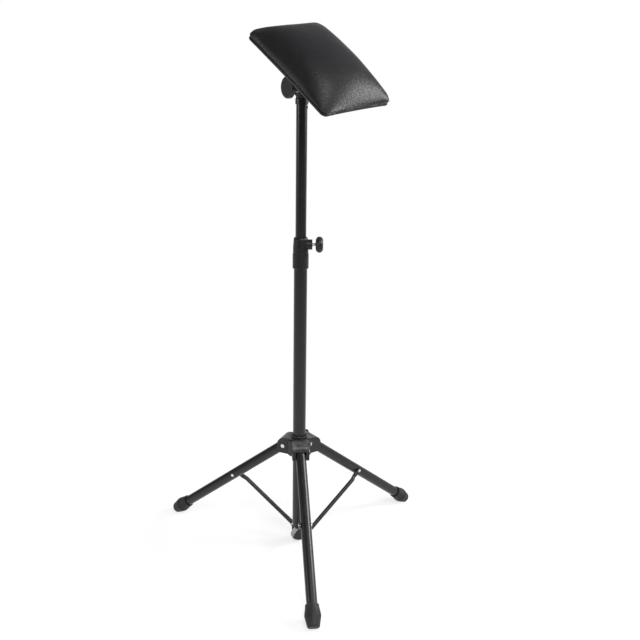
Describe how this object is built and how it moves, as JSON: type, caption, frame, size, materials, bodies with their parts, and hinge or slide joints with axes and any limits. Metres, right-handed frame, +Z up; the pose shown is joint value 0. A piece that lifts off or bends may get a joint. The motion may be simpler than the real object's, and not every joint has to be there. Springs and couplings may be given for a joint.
{
  "type": "tattoo arm rest stand",
  "caption": "Folding tripod arm rest: telescopic mast with clamp collar, swivelling and tilting head, padded leatherette rest, three braced legs with rubber feet.",
  "frame": {"origin": "on the floor, at the bottom centre of the object's box; the mast's axis stands 71.9 mm behind it", "axes": "+Z up along the mast, -Y along the front leg, +X towards the clamp knob's side"},
  "size_m": [0.522, 0.455, 1.0108],
  "materials": {
    "tube_paint": "satin black powder coat",
    "hub_plastic": "dark grey moulded nylon, slightly dusty",
    "collar_plastic": "black moulded nylon",
    "knob_plastic": "black moulded, half gloss",
    "zinc": "zinc plated steel",
    "nickel": "bright nickel plating",
    "rubber": "black rubber",
    "liner_plastic": "natural nylon",
    "board": "plywood with a black backing",
    "leatherette": "black grained leatherette"
  },
  "bodies": {
    "mast": {"outer_tube": "tube_paint", "mast_end_plug": "collar_plastic", "lower_bracket": "tube_paint", "bracket_pins": "nickel", "clamp_collar": "collar_plastic", "collar_sleeve": "collar_plastic", "collar_seal": "liner_plastic", "collar_liner": "liner_plastic", "clamp_nut": "zinc"},
    "clamp": {"clamp_knob": "knob_plastic", "clamp_screw": "zinc"},
    "hub": {"leg_hub": "hub_plastic", "leg_pivot_pins": "nickel", "hub_set_screw": "nickel", "lock_nut": "zinc"},
    "hub_lock": {"lock_wing": "knob_plastic", "lock_screw": "zinc"},
    "leg_front": {"leg_tube_front": "tube_paint", "leg_plug_front": "collar_plastic", "foot_front": "rubber", "stay_rivet_front": "nickel"},
    "leg_right": {"leg_tube_right": "tube_paint", "leg_plug_right": "collar_plastic", "foot_right": "rubber", "stay_rivet_right": "nickel"},
    "leg_left": {"leg_tube_left": "tube_paint", "leg_plug_left": "collar_plastic", "foot_left": "rubber", "stay_rivet_left": "nickel"},
    "stay_front": {"stay_front": "tube_paint", "stay_cap_front": "nickel"},
    "stay_right": {"stay_right": "tube_paint", "stay_cap_right": "nickel"},
    "stay_left": {"stay_left": "tube_paint", "stay_cap_left": "nickel"},
    "guide": {"guide_bush": "liner_plastic"},
    "post": {"inner_tube": "tube_paint", "inner_tube_stop": "collar_plastic", "bush_ring": "zinc", "head_base": "tube_paint", "head_screws": "tube_paint"},
    "rest": {"tilt_bracket": "tube_paint", "tilt_nut": "zinc", "tilt_washers": "zinc", "pad_board": "board", "pad_cushion": "leatherette", "pad_screws": "zinc"},
    "tilt_lock": {"tilt_knob": "knob_plastic", "tilt_bolt": "zinc"}
  },
  "joints": [
    {"name": "hub_slide", "type": "slide", "parent": "mast", "child": "hub", "axis": [0, 0, 1], "range_m": [0, 0.1197]},
    {"name": "leg_front_fold", "type": "hinge", "parent": "hub", "child": "leg_front", "pos_m": [0, 0.04374, 0.214], "axis": [1, 0, 0], "range_deg": [0, 46.71]},
    {"name": "leg_right_fold", "type": "hinge", "parent": "hub", "child": "leg_right", "pos_m": [0.02442, 0.08604, 0.214], "axis": [-0.5, 0.866, 0], "range_deg": [0, 46.71]},
    {"name": "leg_left_fold", "type": "hinge", "parent": "hub", "child": "leg_left", "pos_m": [-0.02442, 0.08604, 0.214], "axis": [-0.5, -0.866, 0], "range_deg": [0, 46.71]},
    {"name": "stay_front_fold", "type": "hinge", "parent": "mast", "child": "stay_front", "pos_m": [0, 0.05324, 0.0255], "axis": [-1, 0, 0], "range_deg": [0, 45.28]},
    {"name": "stay_right_fold", "type": "hinge", "parent": "mast", "child": "stay_right", "pos_m": [0.0162, 0.08129, 0.0255], "axis": [0.5, -0.866, 0], "range_deg": [0, 45.28]},
    {"name": "stay_left_fold", "type": "hinge", "parent": "mast", "child": "stay_left", "pos_m": [-0.0162, 0.08129, 0.0255], "axis": [0.5, 0.866, 0], "range_deg": [0, 45.28]},
    {"name": "hub_lock_turn", "type": "hinge", "parent": "hub", "child": "hub_lock", "pos_m": [0, 0.09694, 0.2235], "axis": [0, 1, 0], "range_deg": [0, 360]},
    {"name": "height_slide", "type": "slide", "parent": "mast", "child": "guide", "axis": [0, 0, 1], "range_m": [-0.228, 0.15]},
    {"name": "post_swivel", "type": "hinge", "parent": "guide", "child": "post", "pos_m": [0, 0.07194, 0.418], "axis": [0, 0, 1], "continuous": true},
    {"name": "clamp_turn", "type": "hinge", "parent": "mast", "child": "clamp", "pos_m": [0.02138, 0.0697, 0.621], "axis": [0.9945, -0.1045, 0], "range_deg": [0, 360]},
    {"name": "rest_tilt", "type": "hinge", "parent": "post", "child": "rest", "pos_m": [0, 0.07194, 0.902], "axis": [0.8746, 0.4848, 0], "range_deg": [-35, 45]},
    {"name": "tilt_knob_turn", "type": "hinge", "parent": "rest", "child": "tilt_lock", "pos_m": [-0.02099, 0.06031, 0.902], "axis": [-0.8746, -0.4848, 0], "range_deg": [0, 360]}
  ],
  "couplings": [
    {"joint": "leg_front_fold", "follows": "hub_slide", "rad_per_m": 6.8093},
    {"joint": "leg_right_fold", "follows": "hub_slide", "rad_per_m": 6.8093},
    {"joint": "leg_left_fold", "follows": "hub_slide", "rad_per_m": 6.8093},
    {"joint": "stay_front_fold", "follows": "hub_slide", "rad_per_m": 6.6004},
    {"joint": "stay_right_fold", "follows": "hub_slide", "rad_per_m": 6.6004},
    {"joint": "stay_left_fold", "follows": "hub_slide", "rad_per_m": 6.6004}
  ]
}
